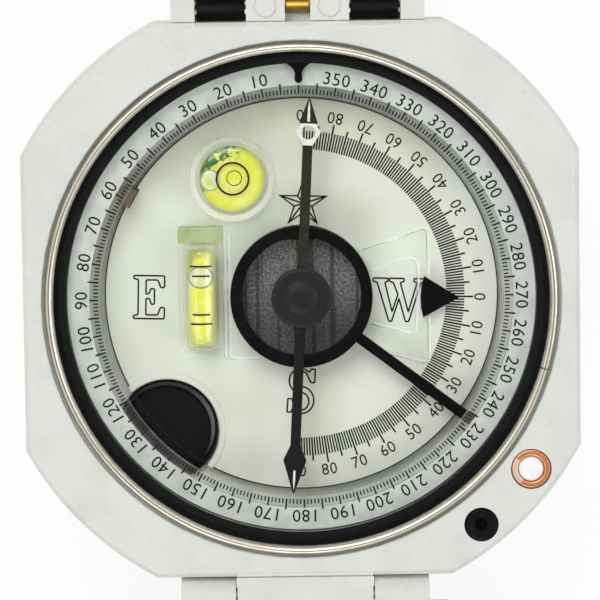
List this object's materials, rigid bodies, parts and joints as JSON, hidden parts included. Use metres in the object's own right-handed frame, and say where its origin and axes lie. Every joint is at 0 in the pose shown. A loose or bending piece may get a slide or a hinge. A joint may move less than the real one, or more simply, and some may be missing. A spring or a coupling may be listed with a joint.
{
  "type": "geology compass",
  "caption": "Pocket transit compass: needle, dial, clinometer and azimuth ring under glass in a square case, with a hinged mirror lid and a folding sighting arm.",
  "frame": {"origin": "on the needle's axis in the plane of the case's back, midway between the lid's far end and the sighting arm's tip to within 1 mm", "axes": "+Y from the lid towards the sighting arm, +Z out through the glass, +X to the side that is lettered W"},
  "size_m": [0.0708, 0.2226, 0.0223],
  "materials": {
    "case_composite": "fine orange peel",
    "dial_face": "satin",
    "black_plastic": "satin",
    "white_plastic": "gloss",
    "seal_rubber": "matte",
    "window_glass": "polished",
    "ring_steel": "turned",
    "bearing_bronze": "dull",
    "brass": "turned",
    "pin_steel": "ground",
    "copper_ring": "bright",
    "ring_face": "satin",
    "clear_plastic": "clear, polished",
    "level_liquid": "clear vial with tinted spirit",
    "damper_metal": "tumbled",
    "needle_bronze": "blackened",
    "black_paint": "satin",
    "mirror_glass": "silvered"
  },
  "bodies": {
    "case": {"case_body": "case_composite", "dial_plate": "dial_face", "pocket_disc": "black_plastic", "ring_washer": "white_plastic", "glass_seal": "seal_rubber", "glass": "window_glass", "snap_ring": "ring_steel", "index_pin": "black_plastic", "pinion_bearing": "bearing_bronze", "clinometer_bushing": "brass", "lift_lever_pin": "pin_steel", "lift_pin_collar": "copper_ring", "lift_pin_spring": "pin_steel", "arm_hinge_pin": "brass", "lid_hinge_pin": "pin_steel"},
    "azimuth": {"azimuth_ring": "ring_face", "ring_gear": "white_plastic"},
    "adjuster": {"adjusting_screw": "brass"},
    "clinometer": {"clinometer_hub": "brass", "clinometer_plate": "clear_plastic", "long_level": "level_liquid", "round_level": "level_liquid", "clinometer_pointer": "black_plastic", "damping_disc": "damper_metal", "clinometer_lever": "black_plastic", "clinometer_screw": "pin_steel", "pivot_post": "pin_steel"},
    "needle_seat": {"needle_jewel": "copper_ring"},
    "needle": {"needle_blade": "needle_bronze", "needle_cap": "black_plastic", "needle_magnet": "pin_steel"},
    "lifter": {"lift_lever": "black_paint"},
    "lift_button": {"lift_pin": "white_plastic"},
    "lock_button": {"lock_pin": "black_plastic"},
    "arm": {"sighting_arm": "black_paint", "peep_sight_pin": "pin_steel"},
    "arm_sight": {"peep_sight": "black_paint"},
    "lid": {"lid_shell": "case_composite", "mirror": "mirror_glass", "lid_sight_pin": "pin_steel"},
    "lid_flap": {"lid_sight": "black_paint"}
  },
  "joints": [
    {"name": "lid_hinge", "type": "hinge", "parent": "case", "child": "lid", "pos_m": [0, -0.03845, 0.01925], "axis": [-1, 0, 0], "range_deg": [0, 180]},
    {"name": "arm_hinge", "type": "hinge", "parent": "case", "child": "arm", "pos_m": [0, 0.03845, 0.01925], "axis": [-1, 0, 0], "range_deg": [-180, 0]},
    {"name": "peep_sight_hinge", "type": "hinge", "parent": "arm", "child": "arm_sight", "pos_m": [0, 0.10135, 0.0154], "axis": [1, 0, 0], "range_deg": [0, 90]},
    {"name": "lid_sight_hinge", "type": "hinge", "parent": "lid", "child": "lid_flap", "pos_m": [0, -0.1091, 0.0113], "axis": [-1, 0, 0], "range_deg": [-90, 0]},
    {"name": "azimuth_turn", "type": "hinge", "parent": "case", "child": "azimuth", "pos_m": [0, 0, 0.0176], "axis": [0, 0, 1], "continuous": true},
    {"name": "adjuster_turn", "type": "hinge", "parent": "case", "child": "adjuster", "pos_m": [-0.03395, 0.02, 0.01324], "axis": [-0.8616, 0.5075, 0], "continuous": true},
    {"name": "clinometer_turn", "type": "hinge", "parent": "case", "child": "clinometer", "pos_m": [0, 0, 0.0124], "axis": [0, 0, 1], "range_deg": [-90, 90]},
    {"name": "lift_button_press", "type": "slide", "parent": "case", "child": "lift_button", "axis": [0, 0, 1], "range_m": [-0.0008, 0], "stiffness_N_per_m": 200, "springref_m": 0.0005, "deforming": ["lift_pin_spring"]},
    {"name": "lifter_rock", "type": "hinge", "parent": "case", "child": "lifter", "pos_m": [0.02473, -0.0187, 0.01465], "axis": [0.6032, 0.7976, 0], "range_deg": [0, 1.7]},
    {"name": "needle_rise", "type": "slide", "parent": "case", "child": "needle_seat", "axis": [0, 0, 1], "range_m": [0, 0.00096]},
    {"name": "needle_swing", "type": "hinge", "parent": "needle_seat", "child": "needle", "pos_m": [0, 0, 0.017], "axis": [0, 0, 1], "continuous": true},
    {"name": "lock_button_press", "type": "slide", "parent": "case", "child": "lock_button", "axis": [0, 0, 1], "range_m": [-0.0008, 0]}
  ],
  "couplings": [
    {"joint": "adjuster_turn", "follows": "azimuth_turn", "ratio": -12},
    {"joint": "lifter_rock", "follows": "lift_button_press", "rad_per_m": -35.785},
    {"joint": "needle_rise", "follows": "lift_button_press", "ratio": -1.1875}
  ]
}
